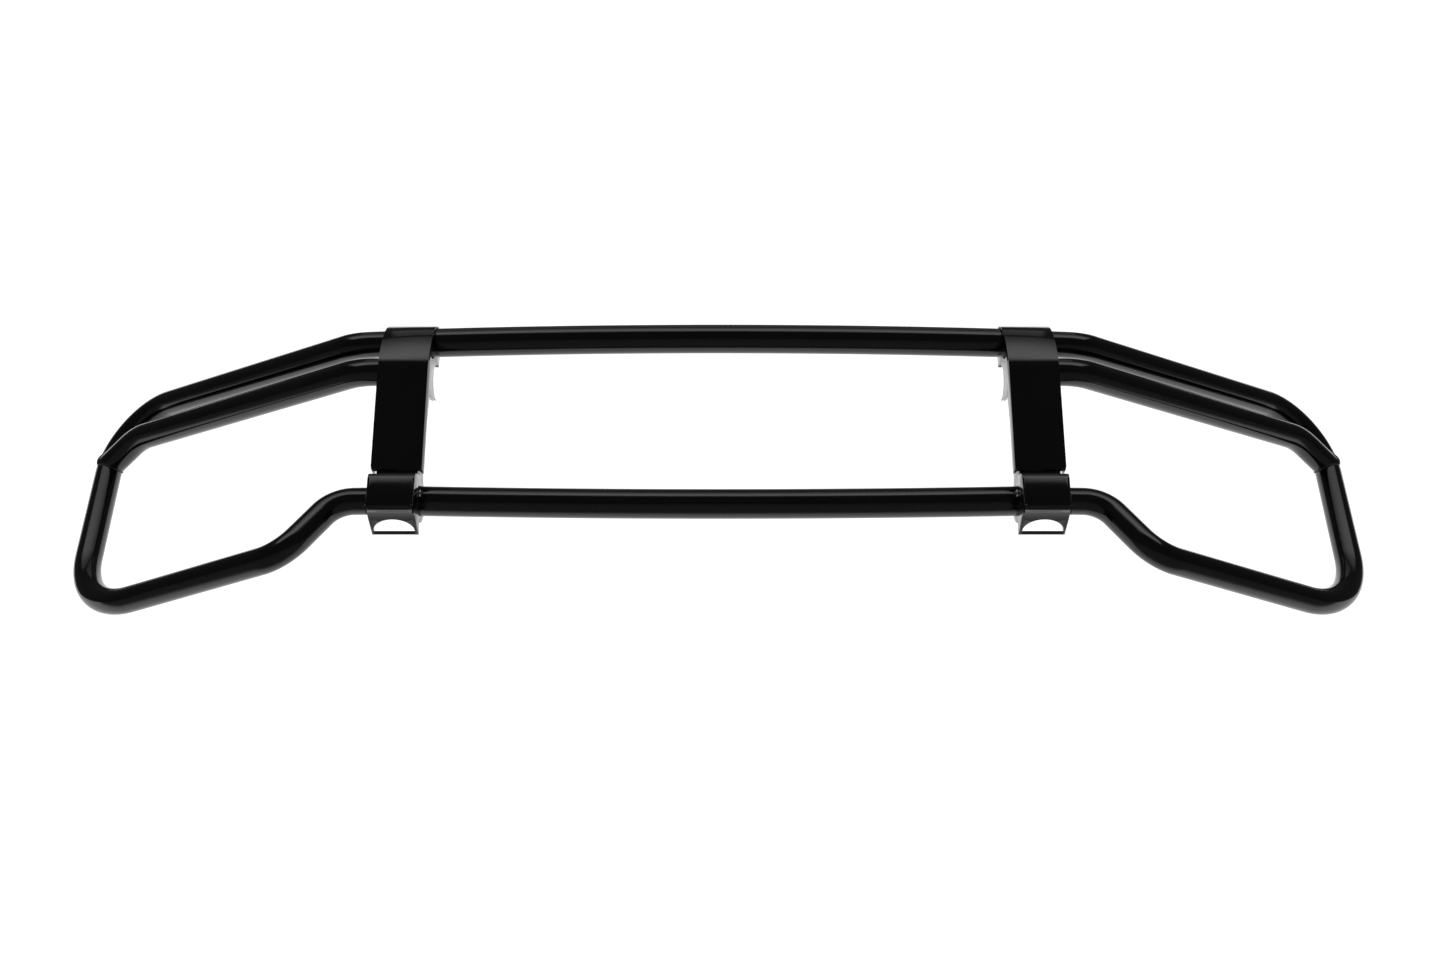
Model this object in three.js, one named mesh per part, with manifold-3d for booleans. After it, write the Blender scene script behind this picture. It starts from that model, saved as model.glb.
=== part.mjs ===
// Front grille guard: two crowned cross tubes, a bent wing loop and a brow tube on each side, and two
// uprights that carry them. Millimetres, +Z up, the guard's front faces -Y, its own left is +X.
// Profiles are drawn in the YZ plane from the lower cross tube's axis at an upright, and the finished
// guard is moved at the end so that its origin is the centre of its box.

import * as THREE from 'three';
import { mergeVertices } from 'three/addons/utils/BufferGeometryUtils.js';
import Module from 'manifold-3d';

// Driving dimensions
const CROSS_TUBE = { radius: 19, wall: 3 };
const WING_TUBE = { radius: 18, wall: 2.5 };
const SPIGOT = { radius: 14.3, wall: 2.5, halfLength: 18 };
const UPRIGHT_X = 402;
const JOINT_GAP = 8;
const LOWER_AXIS = { y: 0, z: 1 };
const UPPER_AXIS = { y: 58, z: 213 };
const LOWER_BOW = -4;
const UPPER_BOW = 6;
const PLAY = 0.4;
const TUBE_PLAY = 1.2;
const BELOW = -60;
const BEHIND = 140;

const LOOP_POINTS = [
  [UPRIGHT_X + JOINT_GAP / 2, LOWER_AXIS.y, LOWER_AXIS.z],
  [484, 0, 0],
  [536, -50, -70],
  [847, 90, -143],
  [888, 303, 148],
  [477, 56, 211],
  [UPRIGHT_X + JOINT_GAP / 2, UPPER_AXIS.y, UPPER_AXIS.z],
];
const LOOP_BENDS = [44, 48, 115, 85, 62];
const BROW_POINTS = [
  [428, 23, 169],
  [463, 23, 169],
  [825, 218, 106],
  [876.5, 244, 69],
];
const BROW_BENDS = [80, 90];
const BEND_STEP = THREE.MathUtils.degToRad(15);
const TUBE_SIDES = 16;
const BORE_SIDES = 12;

const COVER = { halfWidth: 32, skin: 3, flange: 15, lip: 6 };
const FACE_FOOT = [-27, 37];
const CREASE = [0, 176];
const HOOD_PULL = [24, 230];
const HOOD_TOP = [60, 236.4];
const HOOD_TURN = [77, 238];
const HOOD_END = [84, 224];

const BRACKET = { halfWidth: 25.5, plate: 5, web: 4, clearance: 4.4, lug: 28 };
const BRACKET_REAR = [[107, 205], [102, 188], [90, 143], [44, 139], [42, 132], [14, 52]];
const REAR_NOTCH = { y: 92, z: 166, radius: 24.5 };
const INNER_PLATE_ONLY = -16;

const BLOCK = { halfWidth: 29, skin: 2.5, foot: -43, roof: 31.5, roofEnd: -30 };
const BLOCK_CHIN = [[-22, BLOCK.foot], [-26, BLOCK.foot]];
const BLOCK_NOSE = [[-60, -18], [-64, -15], [-64.5, -9]];
const BLOCK_BROW = [[-52, 26], [-49, BLOCK.roof], [-43, BLOCK.roof]];
const WINDOW = { halfWidth: 25.7, sill: -38.7, rise: 13.4 };
const BLOCK_SCREW = { y: -22.9, z: 8.8, shank: 3, head: 4.4 };

const SADDLE = { halfWidth: 18, inner: 20.2, outer: 25.5, earTop: 41, earFront: 9, earAngle: 48 };
const EAR_REAR = SADDLE.outer * Math.cos(THREE.MathUtils.degToRad(SADDLE.earAngle));
const CLAMP_BOLT = { spread: 10, z: 33, shank: 4, head: 6.5, headHeight: 5.3, front: -20 };
const WASHER = { radius: 8, thick: 1.6 };

const FOOT = { halfWidth: 20, thick: 6, ear: 5, low: 60, high: 122, face: 45, hole: 6.5, bolts: [73, 109] };
const FOOT_EAR = [[8, FOOT.low], [30, FOOT.high]];
const PAD_THICK = 4;
const STUD = { radius: 3, heights: [88, 150], back: 12, nutRadius: 5.8, nutHeight: 5 };

const COLOURS = {
  gloss: { color: 0x060607, roughness: 0.12, metalness: 0 },
  zinc: { color: 0x9a9ca0, roughness: 0.4, metalness: 0.9 },
  rubber: { color: 0x151515, roughness: 0.85, metalness: 0 },
};

const wasm = await Module();
wasm.setup();

const ALONG_X = new THREE.Matrix4().makeBasis(
  new THREE.Vector3(0, 1, 0),
  new THREE.Vector3(0, 0, 1),
  new THREE.Vector3(1, 0, 0),
);

// Solids and booleans
function toManifold(geometry) {
  const bare = geometry.clone();
  bare.deleteAttribute('normal');
  bare.deleteAttribute('uv');
  const merged = mergeVertices(bare, 1e-4);
  const vertProperties = new Float32Array(merged.attributes.position.array);
  const triVerts = new Uint32Array(merged.index.array);
  return new wasm.Manifold(new wasm.Mesh({ numProp: 3, vertProperties, triVerts }));
}

function toGeometry(solid) {
  const mesh = solid.getMesh();
  const geometry = new THREE.BufferGeometry();
  geometry.setAttribute('position', new THREE.BufferAttribute(new Float32Array(mesh.vertProperties), 3));
  geometry.setIndex(new THREE.BufferAttribute(new Uint32Array(mesh.triVerts), 1));
  return geometry;
}

function cut(geometry, ...tools) {
  let solid = toManifold(geometry);
  for (const tool of tools) {
    solid = solid.subtract(toManifold(tool));
  }
  return toGeometry(solid);
}

// A profile of [y, z] points, drawn from x = from to x = to.
function slab(profile, from, to) {
  const shape = new THREE.Shape(profile.map(([y, z]) => new THREE.Vector2(y, z)));
  const geometry = new THREE.ExtrudeGeometry(shape, { depth: to - from, bevelEnabled: false, steps: 1 });
  geometry.applyMatrix4(ALONG_X);
  return geometry.translate(from, 0, 0);
}

function box(x, y, z) {
  const geometry = new THREE.BoxGeometry(x[1] - x[0], y[1] - y[0], z[1] - z[0]);
  return geometry.translate((x[0] + x[1]) / 2, (y[0] + y[1]) / 2, (z[0] + z[1]) / 2);
}

// A cylinder from one point to another.
function rod(from, to, radius, sides = TUBE_SIDES) {
  const start = new THREE.Vector3(...from);
  const span = new THREE.Vector3(...to).sub(start);
  const geometry = new THREE.CylinderGeometry(radius, radius, span.length(), sides);
  const turn = new THREE.Quaternion().setFromUnitVectors(
    new THREE.Vector3(0, 1, 0),
    span.clone().normalize(),
  );
  geometry.applyQuaternion(turn);
  return geometry.translate(...start.addScaledVector(span, 0.5).toArray());
}

// A lathed solid: a profile of [radius, height] points turned round an axis through the origin point.
function turned(profile, origin, axis, sides) {
  const points = profile.map(([r, h]) => new THREE.Vector2(r, h));
  const geometry = new THREE.LatheGeometry(points, sides);
  const turn = new THREE.Quaternion().setFromUnitVectors(
    new THREE.Vector3(0, 1, 0),
    new THREE.Vector3(...axis).normalize(),
  );
  geometry.applyQuaternion(turn);
  return toGeometry(toManifold(geometry.translate(...origin)));
}

// Outlines
function arc(centreY, centreZ, radius, fromDegrees, toDegrees, steps) {
  const points = [];
  for (let i = 0; i <= steps; i += 1) {
    const angle = THREE.MathUtils.degToRad(fromDegrees + ((toDegrees - fromDegrees) * i) / steps);
    points.push([centreY + radius * Math.cos(angle), centreZ + radius * Math.sin(angle)]);
  }
  return points;
}

function swoop(from, pull, to, steps) {
  const curve = new THREE.QuadraticBezierCurve(
    new THREE.Vector2(...from),
    new THREE.Vector2(...pull),
    new THREE.Vector2(...to),
  );
  return curve.getPoints(steps).map((p) => [p.x, p.y]);
}

// The open line moved to its right-hand side by distance(i), a number for each point.
function offset(line, distance) {
  return line.map(([y, z], i) => {
    const before = line[Math.max(i - 1, 0)];
    const after = line[Math.min(i + 1, line.length - 1)];
    const along = new THREE.Vector2(after[0] - before[0], after[1] - before[1]).normalize();
    return [y + along.y * distance(i), z - along.x * distance(i)];
  });
}

// Bent tubes: straight runs joined by arcs, with a station at each end of a run and along each arc.
class BentLine extends THREE.Curve {
  constructor(stations) {
    super();
    this.stations = stations;
  }

  at(u) {
    return this.stations[Math.round(u * (this.stations.length - 1))];
  }

  getPoint(u, target = new THREE.Vector3()) {
    return target.copy(this.at(u).point);
  }

  getPointAt(u, target) {
    return this.getPoint(u, target);
  }

  getTangentAt(u, target = new THREE.Vector3()) {
    return target.copy(this.at(u).tangent);
  }

  getSpacedPoints() {
    return this.stations.map((station) => station.point.clone());
  }
}

function bentLine(points, bends) {
  const corners = points.map((p) => new THREE.Vector3(...p));
  const stations = [];
  const direction = (i) => corners[i + 1].clone().sub(corners[i]).normalize();
  stations.push({ point: corners[0], tangent: direction(0) });
  for (let i = 1; i < corners.length - 1; i += 1) {
    const into = direction(i - 1);
    const out = direction(i);
    const turn = into.angleTo(out);
    const reach = bends[i - 1] * Math.tan(turn / 2);
    const start = corners[i].clone().addScaledVector(into, -reach);
    const axis = into.clone().cross(out).normalize();
    const centre = start.clone().addScaledVector(axis.clone().cross(into), bends[i - 1]);
    const steps = Math.ceil(turn / BEND_STEP);
    for (let k = 0; k <= steps; k += 1) {
      const angle = (turn * k) / steps;
      const point = start.clone().sub(centre).applyAxisAngle(axis, angle).add(centre);
      stations.push({ point, tangent: into.clone().applyAxisAngle(axis, angle) });
    }
  }
  const last = corners.length - 1;
  stations.push({ point: corners[last], tangent: direction(last - 1) });
  return new BentLine(stations);
}

// A shallow arc in the XZ plane from -x to +x whose middle is bow higher than its ends.
function bowedLine(halfSpan, axis, bow, steps) {
  const radius = (halfSpan ** 2 + bow ** 2) / (2 * bow);
  const stations = [];
  for (let i = 0; i <= steps; i += 1) {
    const x = -halfSpan + (2 * halfSpan * i) / steps;
    const drop = Math.sqrt(radius ** 2 - x ** 2) * Math.sign(bow);
    const point = new THREE.Vector3(x, axis.y, axis.z + bow - radius + drop);
    stations.push({ point, tangent: new THREE.Vector3(drop, 0, -x).normalize().multiplyScalar(Math.sign(bow)) });
  }
  return new BentLine(stations);
}

function ring(radius, sides) {
  const points = [];
  for (let i = 0; i < sides; i += 1) {
    const angle = (2 * Math.PI * i) / sides;
    points.push(new THREE.Vector2(radius * Math.cos(angle), radius * Math.sin(angle)));
  }
  return points;
}

function sweep(section, line) {
  return new THREE.ExtrudeGeometry(section, { steps: line.stations.length - 1, extrudePath: line });
}

function pipe(line, radius, wall) {
  const section = new THREE.Shape(ring(radius, TUBE_SIDES));
  section.holes.push(new THREE.Path(ring(radius - wall, BORE_SIDES)));
  return sweep(section, line);
}

// Sub-parts, all drawn on the guard's left side
const loopLine = bentLine(LOOP_POINTS, LOOP_BENDS);
const browLine = bentLine(BROW_POINTS, BROW_BENDS);

const skinLine = [
  FACE_FOOT,
  ...swoop(CREASE, HOOD_PULL, HOOD_TOP, 7),
  ...swoop(HOOD_TOP, HOOD_TURN, HOOD_END, 4).slice(1),
];

const facePitch = Math.atan2(CREASE[0] - FACE_FOOT[0], CREASE[1] - FACE_FOOT[1]);
const faceNormal = [0, Math.cos(facePitch), -Math.sin(facePitch)];

// The point of the cover's face at height z, and the same point a distance behind it.
function behindFace(z, distance) {
  const y = FACE_FOOT[0] + (z - FACE_FOOT[1]) * Math.tan(facePitch);
  return [UPRIGHT_X, y + faceNormal[1] * distance, z + faceNormal[2] * distance];
}

function crossTube(axis, bow) {
  const halfSpan = UPRIGHT_X - JOINT_GAP / 2;
  return pipe(bowedLine(halfSpan, axis, bow, 8), CROSS_TUBE.radius, CROSS_TUBE.wall);
}

function wingLoop() {
  return pipe(loopLine, WING_TUBE.radius, WING_TUBE.wall);
}

function browTube() {
  const loopSpace = sweep(new THREE.Shape(ring(WING_TUBE.radius + PLAY, TUBE_SIDES)), loopLine);
  return cut(pipe(browLine, WING_TUBE.radius, WING_TUBE.wall), loopSpace);
}

function jointSpigot(axis) {
  const from = [UPRIGHT_X - SPIGOT.halfLength, axis.y, axis.z];
  const to = [UPRIGHT_X + SPIGOT.halfLength, axis.y, axis.z];
  const bore = SPIGOT.radius - SPIGOT.wall;
  const outer = rod(from, to, SPIGOT.radius, BORE_SIDES);
  const inner = rod([from[0] - 1, axis.y, axis.z], [to[0] + 1, axis.y, axis.z], bore, BORE_SIDES);
  return cut(outer, inner);
}

function uprightCover() {
  const depthAt = (i) => THREE.MathUtils.clamp(COVER.flange - 3 * (i - 1), COVER.lip, COVER.flange);
  const outer = [...skinLine, ...offset(skinLine, depthAt).reverse()];
  const hollow = [...offset(skinLine, () => COVER.skin), ...offset(skinLine, () => COVER.flange + 9).reverse()];
  const pocket = COVER.halfWidth - COVER.skin;
  const shell = slab(outer, UPRIGHT_X - COVER.halfWidth, UPRIGHT_X + COVER.halfWidth);
  const [, browY, browZ] = BROW_POINTS[0];
  const browHole = rod([UPRIGHT_X + 20, browY, browZ], [UPRIGHT_X + 50, browY, browZ], WING_TUBE.radius + 1);
  const crossHole = rod(
    [UPRIGHT_X - 40, UPPER_AXIS.y, UPPER_AXIS.z + 1],
    [UPRIGHT_X + 40, UPPER_AXIS.y, UPPER_AXIS.z + 1],
    CROSS_TUBE.radius + TUBE_PLAY,
    24,
  );
  return cut(
    shell,
    slab(stretched(hollow), UPRIGHT_X - pocket, UPRIGHT_X + pocket),
    browHole,
    crossHole,
  );
}

// A hollow's outline with its foot carried below the shell's foot, so that the shell is open there.
function stretched(outline) {
  const down = [-Math.sin(facePitch) * 5, -Math.cos(facePitch) * 5];
  const first = outline[0];
  const last = outline[outline.length - 1];
  return [
    [first[0] + down[0], first[1] + down[1]],
    ...outline,
    [last[0] + down[0], last[1] + down[1]],
  ];
}

function bracketOutline() {
  const front = offset(skinLine, () => BRACKET.clearance);
  return [
    ...front,
    ...BRACKET_REAR,
    ...arc(LOWER_AXIS.y, LOWER_AXIS.z, BRACKET.lug, 55, -160, 12),
  ];
}

function uprightBracket() {
  const inner = UPRIGHT_X - BRACKET.halfWidth;
  const outer = UPRIGHT_X + BRACKET.halfWidth;
  const front = offset(skinLine, () => BRACKET.clearance + BRACKET.web);
  const channel = [
    [BRACKET.web - BRACKET.lug, BELOW],
    [BRACKET.web - BRACKET.lug, 8],
    ...front,
    [BEHIND, HOOD_END[1]],
    [BEHIND, BELOW],
  ];
  const tubeHole = (axis, x, radius) => rod([x[0], axis.y, axis.z], [x[1], axis.y, axis.z], radius + TUBE_PLAY, 24);
  const toCentre = [inner - 5, UPRIGHT_X];
  const toWing = [UPRIGHT_X, outer + 5];
  const notchHalf = CROSS_TUBE.radius + TUBE_PLAY;
  return cut(
    slab(bracketOutline(), inner, outer),
    slab(channel, inner + BRACKET.plate, outer - BRACKET.plate),
    rod([inner - 5, REAR_NOTCH.y, REAR_NOTCH.z], [outer + 5, REAR_NOTCH.y, REAR_NOTCH.z], REAR_NOTCH.radius, 32),
    tubeHole(LOWER_AXIS, toCentre, CROSS_TUBE.radius),
    tubeHole(LOWER_AXIS, toWing, WING_TUBE.radius),
    rod(
      [inner - 5, UPPER_AXIS.y, UPPER_AXIS.z],
      [outer + 5, UPPER_AXIS.y, UPPER_AXIS.z],
      notchHalf,
      24,
    ),
    box(
      [inner - 5, outer + 5],
      [UPPER_AXIS.y - notchHalf, UPPER_AXIS.y + notchHalf],
      [UPPER_AXIS.z, UPPER_AXIS.z + 40],
    ),
    box([inner + BRACKET.plate, outer + 5], [-40, 40], [BELOW, INNER_PLATE_ONLY]),
    ...STUD.heights.map((z) => rod(behindFace(z, 0), behindFace(z, 20), STUD.radius + PLAY, 12)),
    ...clampBoltPlaces().map((x) => rod([x, -40, CLAMP_BOLT.z], [x, 0, CLAMP_BOLT.z], CLAMP_BOLT.shank + PLAY, 12)),
    rod([inner - 5, BLOCK_SCREW.y, BLOCK_SCREW.z], [outer + 5, BLOCK_SCREW.y, BLOCK_SCREW.z], BLOCK_SCREW.shank + PLAY, 12),
  );
}

function clampBlock() {
  const skin = [
    ...BLOCK_CHIN,
    ...swoop(...BLOCK_NOSE, 3),
    [-62, 6],
    ...swoop(...BLOCK_BROW, 3),
    [-10, BLOCK.roof],
  ];
  const outline = [...skin, [-10, 0], [-22, -30]];
  const lining = offset(skin, () => BLOCK.skin);
  const hollow = [
    [BLOCK_CHIN[0][0], BELOW],
    ...lining.slice(1, -1),
    [BLOCK.roofEnd, BLOCK.roof - BLOCK.skin],
    [BLOCK.roofEnd, BLOCK.roof + 20],
    [30, BLOCK.roof + 20],
    [30, BELOW],
  ];
  const sides = [UPRIGHT_X - BLOCK.halfWidth, UPRIGHT_X + BLOCK.halfWidth];
  const pocket = [sides[0] + BLOCK.skin, sides[1] - BLOCK.skin];
  const tube = rod([sides[0] - 5, 0, LOWER_AXIS.z], [sides[1] + 5, 0, LOWER_AXIS.z], CROSS_TUBE.radius + TUBE_PLAY, 24);
  const screw = rod(
    [sides[0] - 5, BLOCK_SCREW.y, BLOCK_SCREW.z],
    [sides[1] + 5, BLOCK_SCREW.y, BLOCK_SCREW.z],
    BLOCK_SCREW.shank + PLAY,
    12,
  );
  return cut(slab(outline, ...sides), slab(hollow, ...pocket), windowTool(), tube, screw);
}

// The D-shaped window: a flat sill with half an ellipse over it, cut from front to back.
function windowTool() {
  const shape = new THREE.Shape();
  for (let i = 0; i <= 12; i += 1) {
    const angle = (Math.PI * i) / 12;
    const x = WINDOW.halfWidth * Math.cos(angle);
    const z = WINDOW.rise * Math.sin(angle);
    shape[i ? 'lineTo' : 'moveTo'](x, z);
  }
  const geometry = new THREE.ExtrudeGeometry(shape, { depth: 80, bevelEnabled: false, steps: 1 });
  geometry.rotateX(Math.PI / 2);
  return geometry.translate(UPRIGHT_X, 0, WINDOW.sill);
}

function clampSaddle() {
  const earAngle = THREE.MathUtils.radToDeg(Math.acos(SADDLE.earFront / SADDLE.inner));
  const outline = [
    ...arc(LOWER_AXIS.y, LOWER_AXIS.z, SADDLE.outer, -45, SADDLE.earAngle, 6),
    [EAR_REAR, SADDLE.earTop],
    [SADDLE.earFront, SADDLE.earTop],
    ...arc(LOWER_AXIS.y, LOWER_AXIS.z, SADDLE.inner, earAngle, -45, 7),
  ];
  const body = slab(outline, UPRIGHT_X - SADDLE.halfWidth, UPRIGHT_X + SADDLE.halfWidth);
  const holes = clampBoltPlaces().map((x) =>
    rod([x, 0, CLAMP_BOLT.z], [x, 40, CLAMP_BOLT.z], CLAMP_BOLT.shank + PLAY, 12),
  );
  return cut(body, ...holes);
}

function clampBoltPlaces() {
  return [UPRIGHT_X - CLAMP_BOLT.spread, UPRIGHT_X + CLAMP_BOLT.spread];
}

function clampBolt(x) {
  const seat = EAR_REAR + WASHER.thick + PLAY;
  const profile = [
    [0, CLAMP_BOLT.front],
    [CLAMP_BOLT.shank, CLAMP_BOLT.front],
    [CLAMP_BOLT.shank, seat],
    [CLAMP_BOLT.head, seat],
    [CLAMP_BOLT.head, seat + CLAMP_BOLT.headHeight],
    [0, seat + CLAMP_BOLT.headHeight],
  ];
  return turned(profile, [x, 0, CLAMP_BOLT.z], [0, 1, 0], 12);
}

function washer(x) {
  const hole = CLAMP_BOLT.shank + PLAY;
  const seat = EAR_REAR + PLAY / 2;
  const profile = [
    [hole, seat],
    [WASHER.radius, seat],
    [WASHER.radius, seat + WASHER.thick],
    [hole, seat + WASHER.thick],
    [hole, seat],
  ];
  return turned(profile, [x, 0, CLAMP_BOLT.z], [0, 1, 0], 12);
}

function coverStud(z) {
  return rod(behindFace(z, COVER.skin + PLAY), behindFace(z, COVER.skin + STUD.back), STUD.radius, 10);
}

function coverNut(z) {
  const seat = BRACKET.clearance + BRACKET.web + PLAY;
  const outer = rod(behindFace(z, seat), behindFace(z, seat + STUD.nutHeight), STUD.nutRadius, 6);
  const hole = rod(behindFace(z, seat - 1), behindFace(z, seat + STUD.nutHeight + 1), STUD.radius + PLAY, 10);
  return cut(outer, hole);
}

function blockScrew(side) {
  const face = BLOCK.halfWidth;
  const profile = [
    [0, face - 8],
    [BLOCK_SCREW.shank, face - 8],
    [BLOCK_SCREW.shank, face + PLAY],
    [BLOCK_SCREW.head, face + PLAY],
    [BLOCK_SCREW.head - 1.4, face + 2.4],
    [0, face + 2.8],
  ];
  return turned(profile, [UPRIGHT_X, BLOCK_SCREW.y, BLOCK_SCREW.z], [side, 0, 0], 12);
}

// The foot is a channel between the upright's side plates: an upright face that bolts to the vehicle,
// and an ear at each side of it that runs forward to the bracket.
function boltHoles() {
  return FOOT.bolts.map((z) => rod([UPRIGHT_X, 0, z], [UPRIGHT_X, FOOT.face + 20, z], FOOT.hole, 16));
}

function mountFoot() {
  const side = [...FOOT_EAR, [FOOT.face, FOOT.high], [FOOT.face, FOOT.low]];
  const body = slab(side, UPRIGHT_X - FOOT.halfWidth, UPRIGHT_X + FOOT.halfWidth);
  const pocket = box(
    [UPRIGHT_X - FOOT.halfWidth + FOOT.ear, UPRIGHT_X + FOOT.halfWidth - FOOT.ear],
    [0, FOOT.face - FOOT.thick],
    [FOOT.low - 10, FOOT.high + 10],
  );
  return cut(body, pocket, ...boltHoles());
}

function mountPad() {
  const body = box(
    [UPRIGHT_X - FOOT.halfWidth, UPRIGHT_X + FOOT.halfWidth],
    [FOOT.face + PLAY, FOOT.face + PLAY + PAD_THICK],
    [FOOT.low, FOOT.high],
  );
  return cut(body, ...boltHoles());
}

// Assembly
function mirrored(geometry) {
  const copy = geometry.index ? geometry.clone() : mergeVertices(geometry.clone());
  copy.scale(-1, 1, 1);
  const index = copy.index.array;
  for (let i = 0; i < index.length; i += 3) {
    [index[i], index[i + 1]] = [index[i + 1], index[i]];
  }
  return copy;
}

const guard = new THREE.Group();

function add(name, geometry, finish) {
  const mesh = new THREE.Mesh(geometry, new THREE.MeshStandardMaterial(COLOURS[finish]));
  mesh.name = name;
  guard.add(mesh);
}

function addPair(name, geometry, finish) {
  add(`left_${name}`, geometry, finish);
  add(`right_${name}`, mirrored(geometry), finish);
}

add('top_cross_tube', crossTube(UPPER_AXIS, UPPER_BOW), 'gloss');
add('lower_cross_tube', crossTube(LOWER_AXIS, LOWER_BOW), 'gloss');
addPair('wing_loop_tube', wingLoop(), 'gloss');
addPair('brow_tube', browTube(), 'gloss');
addPair('upright_cover', uprightCover(), 'gloss');
addPair('upright_bracket', uprightBracket(), 'gloss');
addPair('lower_clamp_block', clampBlock(), 'gloss');
addPair('lower_clamp_saddle', clampSaddle(), 'gloss');
addPair('top_joint_spigot', jointSpigot(UPPER_AXIS), 'zinc');
addPair('lower_joint_spigot', jointSpigot(LOWER_AXIS), 'zinc');
addPair('mount_foot', mountFoot(), 'gloss');
addPair('mount_pad', mountPad(), 'rubber');
clampBoltPlaces().forEach((x, i) => {
  const place = ['inner', 'outer'][i];
  addPair(`clamp_bolt_${place}`, clampBolt(x), 'zinc');
  addPair(`clamp_washer_${place}`, washer(x), 'zinc');
});
STUD.heights.forEach((z, i) => {
  const place = ['lower', 'upper'][i];
  addPair(`cover_stud_${place}`, coverStud(z), 'zinc');
  addPair(`cover_nut_${place}`, coverNut(z), 'zinc');
});
addPair('block_screw_inner', blockScrew(-1), 'zinc');
addPair('block_screw_outer', blockScrew(1), 'zinc');

const middle = new THREE.Box3().setFromObject(guard).getCenter(new THREE.Vector3());
guard.children.forEach((mesh) => mesh.geometry.translate(-middle.x, -middle.y, -middle.z));

export default guard;
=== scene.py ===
"""Front grille guard: gloss-black tube work, pressed covers, clamps and hardware round the CAD frame.

Shapes are drawn in millimetres from a datum: the lower cross tube's axis at an upright is at y 0, z 1,
the guard's left is +X and its front faces -Y. fixed() turns such a point into the frame's metres.
"""

import math

import bmesh
import bpy
from mathutils import Matrix, Quaternion, Vector


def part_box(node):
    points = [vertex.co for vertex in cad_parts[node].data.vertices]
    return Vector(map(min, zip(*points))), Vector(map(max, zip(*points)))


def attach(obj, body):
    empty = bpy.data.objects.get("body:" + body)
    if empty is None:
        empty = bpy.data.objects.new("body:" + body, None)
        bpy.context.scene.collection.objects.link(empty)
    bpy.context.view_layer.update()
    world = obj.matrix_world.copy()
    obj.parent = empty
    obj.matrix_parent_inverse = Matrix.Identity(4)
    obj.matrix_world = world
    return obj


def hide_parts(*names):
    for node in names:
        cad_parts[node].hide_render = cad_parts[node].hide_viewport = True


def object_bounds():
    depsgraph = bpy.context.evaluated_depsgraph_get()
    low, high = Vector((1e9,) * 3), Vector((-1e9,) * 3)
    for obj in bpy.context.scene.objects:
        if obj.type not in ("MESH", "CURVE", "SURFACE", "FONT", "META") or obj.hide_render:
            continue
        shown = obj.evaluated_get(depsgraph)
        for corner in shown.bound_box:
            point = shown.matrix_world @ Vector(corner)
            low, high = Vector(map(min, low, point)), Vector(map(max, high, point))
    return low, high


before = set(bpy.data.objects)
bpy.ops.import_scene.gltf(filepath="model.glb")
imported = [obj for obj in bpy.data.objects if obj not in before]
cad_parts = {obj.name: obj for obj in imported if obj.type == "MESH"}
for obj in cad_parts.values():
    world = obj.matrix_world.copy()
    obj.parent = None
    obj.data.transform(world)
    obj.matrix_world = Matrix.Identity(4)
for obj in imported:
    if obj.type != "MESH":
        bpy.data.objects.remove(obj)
cad_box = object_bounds()

# Driving dimensions, in millimetres
CROSS_R = 19.0
CROSS_WALL = 3.0
WING_R = 18.0
# The loop is drawn a little thin, to stay inside the box of the faceted CAD tube
WING_DRAWN = 17.4
WING_WALL = 2.5
UPRIGHT_X = 402.0
JOINT_GAP = 8.0
LOWER_AXIS = (0.0, 1.0)
UPPER_AXIS = (58.0, 213.0)
LOWER_BOW = -4.0
UPPER_BOW = 6.0
LOOP_POINTS = [
    (UPRIGHT_X + JOINT_GAP / 2, *LOWER_AXIS),
    (484, 0, 0),
    (536, -50, -70),
    (847, 90, -143),
    (888, 303, 147),
    (477, 56, 210),
    (UPRIGHT_X + JOINT_GAP / 2, *UPPER_AXIS),
]
LOOP_BENDS = [44, 48, 115, 85, 62]
BROW_POINTS = [(428, 23, 169), (463, 23, 169), (825, 218, 107), (876.5, 244, 69)]
BROW_BENDS = [80, 90]

COVER_HALF = 32.0
COVER_SKIN = 3.0
COVER_EDGE = 0.5
HOLLOW_REACH = 24.0
COVER_FLANGE = 15.0
COVER_LIP = 6.0
COVER_CORNER = 5.0
COVER_FOOT = 3.0
COVER_LIP_SKIN = 4.0
FADE_START = 6.0
FADE_RUN = 34.0
FACE_FOOT = (-27.0, 37.0)
CREASE = (0.0, 176.0)
HOOD_PULL = (24.0, 230.0)
HOOD_TOP = (60.0, 236.4)
HOOD_TURN = (77.0, 238.0)
HOOD_END = (84.0, 224.0)

BRACKET_HALF = 25.5
BRACKET_PLATE = 5.0
BRACKET_GAP = 4.4
BRACKET_WEB = 4.0
LUG = 28.0
BRACKET_REAR = [(44, 139), (42, 132), (14, 52)]
HOOK = [(107, 205), (102, 188)]
THORN = (90, 143)
NOTCH = (92.0, 166.0, 24.5)
LUG_CUT = -16.0
TUBE_CLEAR = 0.5
NOTCH_CLEAR = 1.2
SCREW_HOLE = 3.4

BLOCK_HALF = 29.0
BLOCK_SKIN = 2.5
BLOCK_CORNER = 5.0
BLOCK_SHELF = (-61.0, -15.5)
BLOCK_FOOT = -43.0
BLOCK_ROOF = 31.5
WINDOW_HALF = 25.7
WINDOW_SILL = -38.7
WINDOW_RISE = 13.4
WINDOW_CORNER = 2.2
BLOCK_SCREW = (-22.9, 8.8)

SADDLE_HALF = 18.0
SADDLE_IN = 20.2
SADDLE_OUT = 25.5
EAR_TOP = 41.0
EAR_FRONT = 9.0
EAR_ANGLE = 48.0
CLAMP_SPREAD = 10.0
CLAMP_Z = 33.0
CLAMP_SEAT = SADDLE_OUT * math.cos(math.radians(EAR_ANGLE)) + 0.2

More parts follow.
